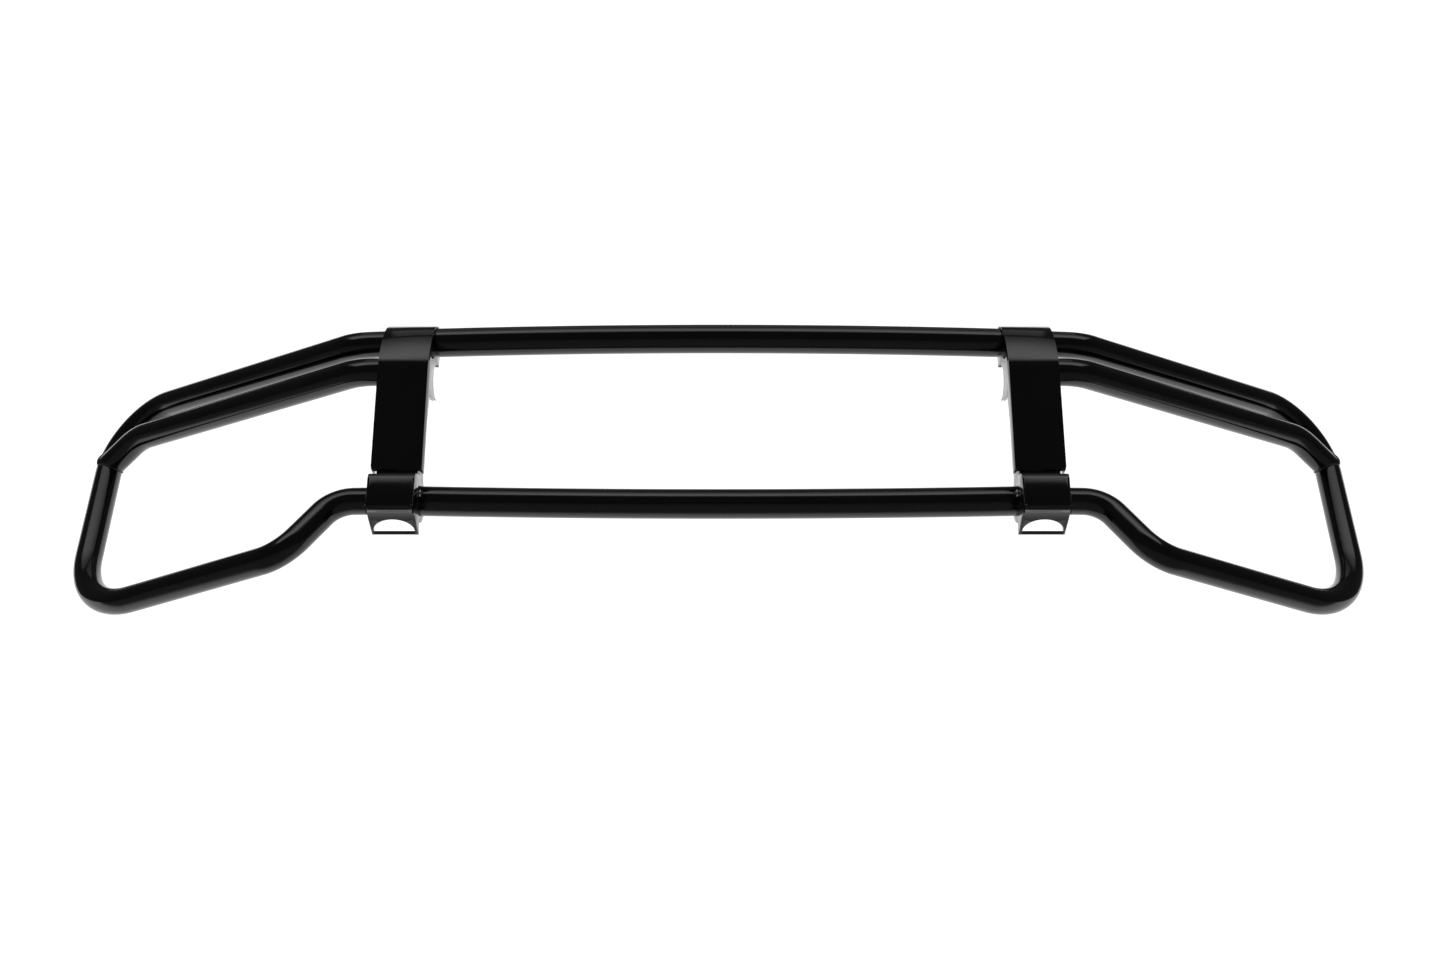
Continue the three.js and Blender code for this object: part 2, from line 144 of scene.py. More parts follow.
FOOT_HALF = 20.0
FOOT_LOW = 60.0
FOOT_HIGH = 122.0
FOOT_FACE = 45.0
FOOT_THICK = 6.0
FOOT_EAR = 5.0
FOOT_HOLE = 6.5
FOOT_BOLTS = (73.0, 109.0)
FOOT_CORNER = 4.0
EAR_FEET = ((8, FOOT_LOW), (30, FOOT_HIGH))
PAD_THICK = 4.0
STUD_HEIGHTS = (88.0, 150.0)

SPIGOT_R = 14.3
SPIGOT_BORE = 11.8
SPIGOT_HALF = 18.0
SPIGOT_WAIST = 13.8

SMOOTH_ANGLE = 38.0
PRESSED_ANGLE = 32.0
HARDWARE_ANGLE = 30.0
BEAD_R = 1.5
BEAD_RIPPLES = 60

spigot_low, spigot_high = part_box("left_lower_joint_spigot")
datum = (Vector(spigot_low) + Vector(spigot_high)) / 2
DATUM_Y = datum.y
DATUM_Z = datum.z - LOWER_AXIS[1] / 1000


def fixed(point):
    """A datum point in millimetres as a frame point in metres."""
    x, y, z = point
    return Vector((x / 1000, DATUM_Y + y / 1000, DATUM_Z + z / 1000))


# Materials


def new_material(name):
    """A material with its nodes, links and shader."""
    material = bpy.data.materials.new(name)
    material.use_nodes = True
    nodes = material.node_tree.nodes
    return material, nodes, material.node_tree.links, nodes["Principled BSDF"]


def noise(nodes, links, scale, detail=3.0, stretch=None):
    """A noise texture in object space, so many cells to the metre."""
    place = nodes.new("ShaderNodeTexCoord")
    texture = nodes.new("ShaderNodeTexNoise")
    texture.inputs["Scale"].default_value = scale
    texture.inputs["Detail"].default_value = detail
    if stretch:
        mapping = nodes.new("ShaderNodeMapping")
        mapping.inputs["Scale"].default_value = stretch
        links.new(place.outputs["Object"], mapping.inputs["Vector"])
        links.new(mapping.outputs["Vector"], texture.inputs["Vector"])
    else:
        links.new(place.outputs["Object"], texture.inputs["Vector"])
    return texture.outputs["Fac"]


def ramp(nodes, links, source, low, high, start, end):
    """source carried from start..end to the greys low..high, clamped."""
    node = nodes.new("ShaderNodeMapRange")
    node.inputs["From Min"].default_value = start
    node.inputs["From Max"].default_value = end
    node.inputs["To Min"].default_value = low
    node.inputs["To Max"].default_value = high
    links.new(source, node.inputs["Value"])
    return node.outputs["Result"]


def mix_colour(nodes, links, factor, first, second):
    """first carried to second by factor; either is a colour or a socket."""
    node = nodes.new("ShaderNodeMix")
    node.data_type = "RGBA"
    for socket, value in ((6, first), (7, second)):
        if isinstance(value, tuple):
            node.inputs[socket].default_value = (*value, 1)
        else:
            links.new(value, node.inputs[socket])
    links.new(factor, node.inputs[0])
    return node.outputs[2]


def bump(nodes, links, shader, heights):
    """Stacked bumps: (height source, depth in metres) pairs."""
    last = None
    for source, depth in heights:
        node = nodes.new("ShaderNodeBump")
        node.inputs["Strength"].default_value = 1.0
        node.inputs["Distance"].default_value = depth
        links.new(source, node.inputs["Height"])
        if last:
            links.new(last, node.inputs["Normal"])
        last = node.outputs["Normal"]
    links.new(last, shader.inputs["Normal"])


def edge_factor(nodes, links, start, end):
    """Rises from 0 to 1 on convex edges."""
    geometry = nodes.new("ShaderNodeNewGeometry")
    return ramp(nodes, links, geometry.outputs["Pointiness"], 0, 1, start, end)


def gloss_black():
    """Gloss black powder coat: faint orange peel, dust in the film, slight rub on edges."""
    material, nodes, links, shader = new_material("gloss_black")
    cloud = ramp(nodes, links, noise(nodes, links, 9, 4), 0, 1, 0.3, 0.7)
    speck = ramp(nodes, links, noise(nodes, links, 900, 2), 0, 1, 0.68, 0.78)
    edge = edge_factor(nodes, links, 0.53, 0.62)
    some_dust = ramp(nodes, links, speck, 0, 0.35, 0, 1)
    some_wear = ramp(nodes, links, edge, 0, 0.35, 0, 1)
    base = mix_colour(nodes, links, cloud, (0.0022, 0.0022, 0.0025), (0.0042, 0.0042, 0.0046))
    dusty = mix_colour(nodes, links, some_dust, base, (0.02, 0.02, 0.021))
    worn = mix_colour(nodes, links, some_wear, dusty, (0.014, 0.014, 0.015))
    links.new(worn, shader.inputs["Base Color"])
    rough = ramp(nodes, links, noise(nodes, links, 30, 5), 0.085, 0.15, 0.3, 0.7)
    links.new(rough, shader.inputs["Roughness"])
    shader.inputs["IOR"].default_value = 1.5
    bump(nodes, links, shader, [
        (noise(nodes, links, 260, 1.5), 0.00002),
        (noise(nodes, links, 60, 1), 0.00002),
    ])
    return material


def zinc_plate():
    """Dark zinc on turned steel: fine tool lines, cloudy passivation, brighter on the edges."""
    material, nodes, links, shader = new_material("zinc_plate")
    cloud = noise(nodes, links, 120, 5)
    lines = noise(nodes, links, 900, 2, (1, 6, 1))
    tint = mix_colour(nodes, links, ramp(nodes, links, cloud, 0, 1, 0.35, 0.65),
                      (0.16, 0.165, 0.175), (0.25, 0.25, 0.245))
    edge = edge_factor(nodes, links, 0.5, 0.6)
    links.new(mix_colour(nodes, links, edge, tint, (0.42, 0.42, 0.42)), shader.inputs["Base Color"])
    links.new(ramp(nodes, links, lines, 0.24, 0.46, 0.3, 0.7), shader.inputs["Roughness"])
    shader.inputs["Metallic"].default_value = 1.0
    bump(nodes, links, shader, [(lines, 0.00002), (cloud, 0.00003)])
    return material


def moulded_rubber():
    """Matt black rubber with a fine sparked texture and pale dust."""
    material, nodes, links, shader = new_material("moulded_rubber")
    grain = noise(nodes, links, 1500, 3)
    dust = ramp(nodes, links, noise(nodes, links, 45, 5), 0, 0.5, 0.5, 0.75)
    links.new(mix_colour(nodes, links, dust, (0.018, 0.018, 0.018), (0.05, 0.048, 0.045)),
              shader.inputs["Base Color"])
    links.new(ramp(nodes, links, grain, 0.7, 0.95, 0.3, 0.7), shader.inputs["Roughness"])
    bump(nodes, links, shader, [(grain, 0.00015), (noise(nodes, links, 200, 2), 0.0001)])
    return material


MATERIALS = {"gloss": gloss_black(), "zinc": zinc_plate(), "rubber": moulded_rubber()}


# Mesh helpers


def finish_mesh(bm, name, sharp=SMOOTH_ANGLE):
    """A bmesh in datum millimetres becomes a smooth-shaded object in frame metres."""
    bmesh.ops.remove_doubles(bm, verts=bm.verts, dist=0.0005)
    bmesh.ops.recalc_face_normals(bm, faces=bm.faces)
    for vertex in bm.verts:
        vertex.co = fixed(vertex.co)
    mesh = bpy.data.meshes.new(name)
    bm.to_mesh(mesh)
    bm.free()
    mesh.shade_smooth()
    mesh.set_sharp_from_angle(angle=math.radians(sharp))
    obj = bpy.data.objects.new(name, mesh)
    bpy.context.scene.collection.objects.link(obj)
    return obj


def apply_modifiers(obj):
    graph = bpy.context.evaluated_depsgraph_get()
    mesh = bpy.data.meshes.new_from_object(obj.evaluated_get(graph))
    old = obj.data
    obj.modifiers.clear()
    obj.data = mesh
    bpy.data.meshes.remove(old)


def carve(obj, tools, edge=0.0, sharp=SMOOTH_ANGLE):
    """Cuts the tools out of obj, then rounds what is still sharp by edge millimetres."""
    for tool in tools:
        cut = obj.modifiers.new("cut", "BOOLEAN")
        cut.operation = "DIFFERENCE"
        cut.solver = "EXACT"
        cut.object = tool
    if edge:
        soft = obj.modifiers.new("soft", "BEVEL")
        soft.width = edge / 1000
        soft.segments = 2
        soft.limit_method = "ANGLE"
        soft.angle_limit = math.radians(50)
        soft.use_clamp_overlap = True
    apply_modifiers(obj)
    for tool in tools:
        bpy.data.objects.remove(tool)
    obj.data.shade_smooth()
    obj.data.set_sharp_from_angle(angle=math.radians(sharp))
    return obj


def mirrored(obj, name):
    """A copy of the left-hand object as its right-hand twin."""
    mesh = obj.data.copy()
    mesh.transform(Matrix.Diagonal((-1, 1, 1, 1)))
    mesh.flip_normals()
    copy = bpy.data.objects.new(name, mesh)
    bpy.context.scene.collection.objects.link(copy)
    return copy


def place(obj, node, slot):
    """Names the piece, gives it its material and hands it to the frame in place of a CAD node."""
    obj.name = node + "_skin"
    obj.data.name = obj.name
    obj.data.materials.clear()
    obj.data.materials.append(MATERIALS[slot])
    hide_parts(node)
    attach(obj, "root")


def place_pair(obj, node, slot):
    twin = mirrored(obj, "twin")
    place(obj, "left_" + node, slot)
    place(twin, "right_" + node, slot)


# Outlines in the side view: (y, z) points


def arc(centre, radius, start, end, steps):
    points = []
    for i in range(steps + 1):
        angle = math.radians(start + (end - start) * i / steps)
        points.append((centre[0] + radius * math.cos(angle), centre[1] + radius * math.sin(angle)))
    return points


def swoop(start, pull, end, steps):
    """A quadratic curve from start to end, pulled towards pull."""
    points = []
    for i in range(steps + 1):
        t = i / steps
        points.append(tuple(
            start[k] * (1 - t) ** 2 + 2 * pull[k] * t * (1 - t) + end[k] * t * t for k in (0, 1)
        ))
    return points


def offset(line, distance):
    """The open line moved to its right-hand side."""
    moved = []
    for i, (y, z) in enumerate(line):
        before = line[max(i - 1, 0)]
        after = line[min(i + 1, len(line) - 1)]
        along = Vector((after[0] - before[0], after[1] - before[1])).normalized()
        moved.append((y + along.y * distance, z - along.x * distance))
    return moved


def filleted(outline, radius, least=20):
    """The closed outline with an arc at each corner sharper than least degrees."""
    out = []
    count = len(outline)
    for i in range(count):
        here = Vector(outline[i])
        back = Vector(outline[i - 1]) - here
        ahead = Vector(outline[(i + 1) % count]) - here
        turn = math.pi - back.angle(ahead)
        if math.degrees(turn) < least:
            out.append(tuple(here))
            continue
        reach = min(radius * math.tan(turn / 2), back.length * 0.45, ahead.length * 0.45)
        start = here + back.normalized() * reach
        end = here + ahead.normalized() * reach
        out += swoop(tuple(start), tuple(here), tuple(end), 5)
    return out


def hood_line(steps):
    """The cover's front in side view: straight face, hood and the turned-down rear end."""
    line = [FACE_FOOT]
    straight = steps // 2
    for i in range(1, straight):
        t = i / straight
        line.append(tuple(FACE_FOOT[k] + (CREASE[k] - FACE_FOOT[k]) * t for k in (0, 1)))
    line += swoop(CREASE, HOOD_PULL, HOOD_TOP, steps)
    line += swoop(HOOD_TOP, HOOD_TURN, HOOD_END, steps // 3)[1:]
    return line


def relaxed(line, rounds):
    """Softens the kinks of an open line and keeps its ends."""
    for _ in range(rounds):
        inner = [
            tuple((line[i - 1][k] + 2 * line[i][k] + line[i + 1][k]) / 4 for k in (0, 1))
            for i in range(1, len(line) - 1)
        ]
        line = [line[0], *inner, line[-1]]
    return line


# Tubes


def bent_line(points, bends, step=3.0, run=30.0):
    """Stations (point, tangent) along straight runs joined by arcs."""
    corners = [Vector(p) for p in points]
    stations = [(corners[0], (corners[1] - corners[0]).normalized())]

    def add_run(end, tangent):
        start = stations[-1][0]
        pieces = max(1, round((end - start).length / run))
        for i in range(1, pieces + 1):
            stations.append((start.lerp(end, i / pieces), tangent))

    for i in range(1, len(corners) - 1):
        into = (corners[i] - corners[i - 1]).normalized()
        out = (corners[i + 1] - corners[i]).normalized()
        turn = into.angle(out)
        start = corners[i] - into * bends[i - 1] * math.tan(turn / 2)
        axis = into.cross(out).normalized()
        centre = start + axis.cross(into) * bends[i - 1]
        add_run(start, into)
        pieces = math.ceil(math.degrees(turn) / step)
        for k in range(1, pieces + 1):
            spin = Quaternion(axis, turn * k / pieces)
            stations.append((centre + spin @ (start - centre), spin @ into))
    add_run(corners[-1], (corners[-1] - corners[-2]).normalized())
    return stations


def bowed_line(half, axis, bow, steps=40):
    """Stations along an arc across X that rises by bow in the middle."""
    radius = (half ** 2 + bow ** 2) / (2 * bow)
    sign = math.copysign(1, bow)
    stations = []
    for i in range(steps + 1):
        x = -half + 2 * half * i / steps
        drop = math.sqrt(radius ** 2 - x ** 2) * sign
        tangent = Vector((drop, 0, -x)).normalized() * sign
        stations.append((Vector((x, axis[0], axis[1] + bow - radius + drop)), tangent))
    return stations


def frames(stations):
    """(point, tangent, side, up) with as little twist as the line allows."""
    side = stations[0][1].orthogonal().normalized()
    out = []
    for point, tangent in stations:
        side = (side - tangent * side.dot(tangent)).normalized()
        out.append((point, tangent, side, tangent.cross(side)))
    return out


def sweep_rings(bm, rings, closed=False):
    """Skins a list of equal rings of bmesh vertices."""
    count = len(rings)
    for i in range(count if closed else count - 1):
        a, b = rings[i], rings[(i + 1) % count]
        sides = len(a)
        for k in range(sides):
            bm.faces.new((a[k], a[(k + 1) % sides], b[(k + 1) % sides], b[k]))


def tube_rings(bm, stations, radius, sides):
    """A ring of vertices round each station."""
    rings = []
    for point, _, side, up in frames(stations):
        ring = []
        for k in range(sides):
            angle = 2 * math.pi * k / sides
            reach = side * radius * math.cos(angle) + up * radius * math.sin(angle)
            ring.append(bm.verts.new(point + reach))
        rings.append(ring)
    return rings


def pipe(stations, radius, wall, sides=64, end_hook=None, chamfer=0.6):
    """An open tube with a wall and broken ends. end_hook(place, tangent) may move the last rings."""
    bm = bmesh.new()
    near = (stations[0][0] + stations[0][1] * chamfer, stations[0][1])
    far = (stations[-1][0] - stations[-1][1] * chamfer, stations[-1][1])
    middle = stations[1:-1]
    outer = tube_rings(bm, [near, *middle, far], radius, sides)
    start_lip = tube_rings(bm, [stations[0], stations[1]], radius - chamfer, sides)
    bore = tube_rings(bm, stations, radius - wall, sides)
    bmesh.ops.delete(bm, geom=start_lip[1], context="VERTS")
    line = frames([near, *middle, far])
    end_point, end_tangent = stations[-1]
    _, _, side, up = line[-1]
    end_lip = []
    for k in range(sides):
        angle = 2 * math.pi * k / sides
        reach = radius - chamfer
        spot = end_point + side * reach * math.cos(angle) + up * reach * math.sin(angle)
        end_lip.append(bm.verts.new(spot))
    if end_hook:
        for ring in (outer[-1], end_lip, bore[-1]):
            for vertex in ring:
                vertex.co = end_hook(vertex.co, end_tangent)
    sweep_rings(bm, [start_lip[0], *outer, end_lip, *reversed(bore)], closed=True)
    return bm


def lathe(bm, profile, origin, axis, sides=48):
    """Turns (radius, height) points round an axis; a radius of 0 closes the solid."""
    turn = Vector((0, 0, 1)).rotation_difference(Vector(axis).normalized())
    rings = []
    for radius, height in profile:
        if radius <= 1e-6:
            rings.append([bm.verts.new(Vector(origin) + turn @ Vector((0, 0, height)))])
            continue
        ring = []
        for k in range(sides):
            angle = 2 * math.pi * k / sides
            spot = Vector((radius * math.cos(angle), radius * math.sin(angle), height))
            ring.append(bm.verts.new(Vector(origin) + turn @ spot))
        rings.append(ring)
    for a, b in zip(rings, rings[1:]):
        for k in range(sides):
            corners = [a[k % len(a)], a[(k + 1) % len(a)], b[(k + 1) % len(b)], b[k % len(b)]]
            unique = list(dict.fromkeys(corners))
            bm.faces.new(unique)
    return bm


def rod(name, start, end, radius, sides=64):
    """A cutting cylinder from one datum point to another."""
    bm = bmesh.new()
    span = Vector(end) - Vector(start)
    lathe(bm, [(0, 0), (radius, 0), (radius, span.length), (0, span.length)], start, span, sides)
    return finish_mesh(bm, name)


# Plates: an outline with thickness along X and broken edges


def slab(outline, x0, x1, edge=0.7, holes=()):
    """A plate of an outline and round holes (y, z, radius), its rims rounded by edge."""
    curve = bpy.data.curves.new("plate", "CURVE")
    curve.dimensions = "2D"
    curve.fill_mode = "BOTH"
    loops = [outline] + [arc((y, z), radius, 0, 360 - 5, 71) for y, z, radius in holes]
    for loop in loops:
        spline = curve.splines.new("POLY")
        spline.points.add(len(loop) - 1)
        for point, (y, z) in zip(spline.points, loop):
            point.co = (y, z, 0, 1)
        spline.use_cyclic_u = True
    curve.extrude = abs(x1 - x0) / 2 - edge
    curve.bevel_depth = edge
    curve.bevel_resolution = 2
    curve.offset = -edge
    holder = bpy.data.objects.new("plate", curve)
    bpy.context.scene.collection.objects.link(holder)
    graph = bpy.context.evaluated_depsgraph_get()
    mesh = bpy.data.meshes.new_from_object(holder.evaluated_get(graph))
    bm = bmesh.new()
    bm.from_mesh(mesh)
    bpy.data.objects.remove(holder)
    bpy.data.curves.remove(curve)
    bpy.data.meshes.remove(mesh)
    middle = (x0 + x1) / 2
    for vertex in bm.verts:
        y, z, x = vertex.co
        vertex.co = Vector((middle + x, y, z))
    return bm


def joined(*parts):
    """Several bmeshes as one."""
    whole = bmesh.new()
    for part in parts:
        mesh = bpy.data.meshes.new("part")
        part.to_mesh(mesh)
        part.free()
        whole.from_mesh(mesh)
        bpy.data.meshes.remove(mesh)
    return whole


# Sub-parts, drawn on the guard's left side

loop_stations = bent_line(LOOP_POINTS, LOOP_BENDS)
brow_stations = bent_line(BROW_POINTS, BROW_BENDS)
LEG_FOOT = Vector(LOOP_POINTS[3])
LEG_HEAD = Vector(LOOP_POINTS[4])


def onto_leg(point, tangent, radius=WING_DRAWN + 0.2):
    """The point slid along the brow tube until it meets the outer leg's surface."""
    axis = (LEG_HEAD - LEG_FOOT).normalized()
    away = point - tangent * 80 - LEG_FOOT
    a = tangent - axis * tangent.dot(axis)
    b = away - axis * away.dot(axis)
    qa, qb, qc = a.dot(a), 2 * a.dot(b), b.dot(b) - radius ** 2
    root = qb * qb - 4 * qa * qc
    if root <= 0:
        return point - tangent * 80 + tangent * (-qb / (2 * qa))
    return point - tangent * 80 + tangent * ((-qb - math.sqrt(root)) / (2 * qa))


def cross_tube(node, axis, bow):
    half = UPRIGHT_X - JOINT_GAP / 2
    tube = finish_mesh(pipe(bowed_line(half, axis, bow), CROSS_R, CROSS_WALL), node)
    place(tube, node, "gloss")


def wing_loop():
    loop = finish_mesh(pipe(loop_stations, WING_DRAWN, WING_WALL), "loop")
    place_pair(loop, "wing_loop_tube", "gloss")


def weld_bead(path, size, ripples):
    """A rippled fillet bead along a closed path of (point, outward) pairs."""
    bm = bmesh.new()
    count = len(path)
    rings = []
    for i, (point, outward) in enumerate(path):
        ahead = path[(i + 1) % count][0] - path[i - 1][0]
        tangent = ahead.normalized()
        out = (outward - tangent * outward.dot(tangent)).normalized()
        up = tangent.cross(out)
        phase = (i / count * ripples) % 1
        swell = size * (0.9 + 0.16 * math.sin(math.pi * phase) + 0.03 * math.sin(i * 1.7))
        ring = []
        for k in range(10):
            angle = 2 * math.pi * k / 10
            reach = out * swell * math.cos(angle) + up * swell * math.sin(angle)
            ring.append(bm.verts.new(point + reach))
        rings.append(ring)
    sweep_rings(bm, rings, closed=True)
    return bm


def brow_tube():
    """The tube, coped onto the outer leg and welded all round."""
    tube = pipe(brow_stations, WING_R, WING_WALL, end_hook=lambda p, t: onto_leg(p, t))
    point, tangent, side, up = frames(brow_stations)[-1]
    path = []
    for k in range(420):
        angle = 2 * math.pi * k / 420
        outward = side * math.cos(angle) + up * math.sin(angle)
        path.append((onto_leg(point + outward * WING_R, tangent), outward - tangent))
    bead = weld_bead(path, BEAD_R, BEAD_RIPPLES)
    place_pair(finish_mesh(joined(tube, bead), "brow"), "brow_tube", "gloss")


def joint_spigot(node, axis):
    bm = bmesh.new()
    mouth, nose, lead = 0.6, 1.2, 1.6
    half = SPIGOT_HALF
    right = [(SPIGOT_WAIST, 0.5), (SPIGOT_R, 1.0), (SPIGOT_R, half - lead), (SPIGOT_R - nose, half),
             (SPIGOT_BORE + 0.5, half), (SPIGOT_BORE, half - mouth)]
    left = [(radius, -height) for radius, height in reversed(right)]
    profile = [*left, *right, left[0]]
    lathe(bm, profile, (UPRIGHT_X, axis[0], axis[1]), (1, 0, 0), 64)
    place_pair(finish_mesh(bm, "spigot"), node, "zinc")


def prism(near, far):
    """A closed solid between two matching rings of points: the bmesh and its two rings of vertices."""
    bm = bmesh.new()
    near = [bm.verts.new(point) for point in near]
    far = [bm.verts.new(point) for point in far]
    bm.faces.new(near)
    bm.faces.new(list(reversed(far)))
    for i in range(len(near)):
        k = (i + 1) % len(near)
        bm.faces.new((near[i], far[i], far[k], near[k]))
    return bm, near, far


def extruded(outline, x0, x1):
    """A closed side-view outline carried from x0 to x1."""
    return prism([(x0, y, z) for y, z in outline], [(x1, y, z) for y, z in outline])


def round_rims(bm, near, far, radius, segments=6):
    """Rounds the edges that join neighbouring vertices of each side ring."""
    rims = []
    for side in (near, far):
        for a, b in zip(side, side[1:]):
            rims.append(bm.edges.get((a, b)))
    bmesh.ops.bevel(bm, geom=rims, offset=radius, segments=segments, profile=0.5, affect="EDGES")


def round_foot(bm, corner, along, radius):
    """Rounds the front edges of the end face that passes through corner, square to along."""
    chosen = []
    for edge in bm.edges:
        steps = [(v.co.y - corner[0], v.co.z - corner[1]) for v in edge.verts]
        level = max(abs(dy * along.x + dz * along.y) for dy, dz in steps)
        depth = max(dy * along.y - dz * along.x for dy, dz in steps)
        if level < 1e-3 and depth < COVER_CORNER + 0.5:
            chosen.append(edge)
    bmesh.ops.bevel(bm, geom=chosen, offset=radius, segments=4, profile=0.5, affect="EDGES")


def upright_cover():
    """A pressed shell: face, rounded edges, rear flanges, a foot lip and a hood over the top tube."""
    line = relaxed(hood_line(48), 6)
    crease_at = math.dist(FACE_FOOT, CREASE)
    deep = offset(line, COVER_FLANGE)
    shallow = offset(line, COVER_LIP)
    rear = []
    run = 0.0
    for i, point in enumerate(line):
        run += math.dist(line[i - 1], point) if i else 0
        fade = min(max((run - crease_at - FADE_START) / FADE_RUN, 0), 1)
        rear.append(tuple(deep[i][k] + (shallow[i][k] - deep[i][k]) * fade for k in (0, 1)))
    x0, x1 = UPRIGHT_X - COVER_HALF, UPRIGHT_X + COVER_HALF
    bm, near, far = extruded([*line, *reversed(rear)], x0, x1)
    count = len(line)
    round_rims(bm, near[:count], far[:count], COVER_CORNER)
    along = Vector((line[1][0] - line[0][0], line[1][1] - line[0][1])).normalized()
    round_foot(bm, line[0], along, COVER_FOOT)
    shell = finish_mesh(bm, "cover", HARDWARE_ANGLE)
    lining = offset(line, COVER_SKIN)
    behind = offset(line, HOLLOW_REACH)
    foot = Vector(line[0])
    rear_way = Vector((along.y, -along.x))
    lip = [tuple(foot + rear_way * COVER_LIP_SKIN + along * t) for t in (-5, COVER_LIP_SKIN)]
    open_end = [tuple(foot + rear_way * HOLLOW_REACH + along * t) for t in (COVER_LIP_SKIN, -5)]
    above_lip = COVER_LIP_SKIN + 0.5
    lining = [p for p in lining if (Vector(p) - foot).dot(along) > above_lip]
    behind = [p for p in behind if (Vector(p) - foot).dot(along) > above_lip]
    hollow = [*lip, *lining, *reversed(behind), *open_end]
    bm, _, _ = extruded(hollow, x0 + COVER_SKIN, x1 - COVER_SKIN)
    pocket = finish_mesh(bm, "pocket")
    y, z = BROW_POINTS[0][1:]
    brow_hole = rod("hole", (UPRIGHT_X + 22, y, z), (UPRIGHT_X + 50, y, z), WING_R + 0.8, 96)
    top = (UPPER_AXIS[0], UPPER_AXIS[1] + 1)
    tube_hole = rod("hole", (x0 - 8, *top), (x1 + 8, *top), CROSS_R + NOTCH_CLEAR, 96)
    carve(shell, [pocket, brow_hole, tube_hole], edge=COVER_EDGE, sharp=PRESSED_ANGLE)
    place_pair(shell, "upright_cover", "gloss")


def bracket_outline():
    """The side plates' outline without the lug: front, tube notch, hooked ear and rear."""
    front = offset(relaxed(hood_line(30), 2), BRACKET_GAP)
    half = CROSS_R + NOTCH_CLEAR
    y0, y1 = UPPER_AXIS[0] - half, UPPER_AXIS[0] + half
    rising = [p for p in front if p[0] < y0]
    ending = [p for p in front if p[0] > y1]
    notch_y, notch_z, notch_r = NOTCH
    start = math.degrees(math.atan2(HOOK[1][1] - notch_z, HOOK[1][0] - notch_y))
    end = math.degrees(math.atan2(THORN[1] - notch_z, THORN[0] - notch_y)) % 360
    return [
        *rising,
        (y0, rising[-1][1] + 1.5),
        *arc(UPPER_AXIS, half, 180, 360, 36),
        *ending,
        HOOK[0],
        *arc((notch_y, notch_z), notch_r, start, end, 40),
        *BRACKET_REAR,
    ]


def upright_bracket():
    """Side plates and web. The inner plate rings the lower tube; the outer one is cut off below it."""
    inner_x = UPRIGHT_X - BRACKET_HALF
    outer_x = UPRIGHT_X + BRACKET_HALF
    body = bracket_outline()
    lug_inner = arc(LOWER_AXIS, LUG, 55, -160, 60)
    inner = slab(
        filleted([*body, *lug_inner], 2.0, 30), inner_x, inner_x + BRACKET_PLATE,
        holes=[(*LOWER_AXIS, CROSS_R + TUBE_CLEAR), (*BLOCK_SCREW, SCREW_HOLE)],
    )
    drop = LUG_CUT - LOWER_AXIS[1]
    lug_angle = math.degrees(math.asin(drop / LUG))
    hole_r = WING_R + TUBE_CLEAR
    hole_angle = math.degrees(math.asin(drop / hole_r))
    lug_outer = [
        *arc(LOWER_AXIS, LUG, 55, lug_angle, 24),
        *arc(LOWER_AXIS, hole_r, hole_angle, 180 - hole_angle, 60),
        *arc(LOWER_AXIS, LUG, -180 - lug_angle, -160, 4),
    ]
    outer = slab(
        filleted([*body, *lug_outer], 2.0, 30), outer_x - BRACKET_PLATE, outer_x,
        holes=[(*BLOCK_SCREW, SCREW_HOLE)],
    )
    skin = relaxed(hood_line(30), 2)
    front = [p for p in offset(skin, BRACKET_GAP) if p[0] < 36]
    rear = [p for p in offset(skin, BRACKET_GAP + BRACKET_WEB) if p[0] < 36]
    web = slab(
        [(-26, -6), *front, *reversed(rear), (-22.2, 20), (-22.2, -6)],
        inner_x + BRACKET_PLATE - 0.2, outer_x - BRACKET_PLATE + 0.2, edge=0.3,
    )
    place_pair(finish_mesh(joined(inner, outer, web), "bracket"), "upright_bracket", "gloss")


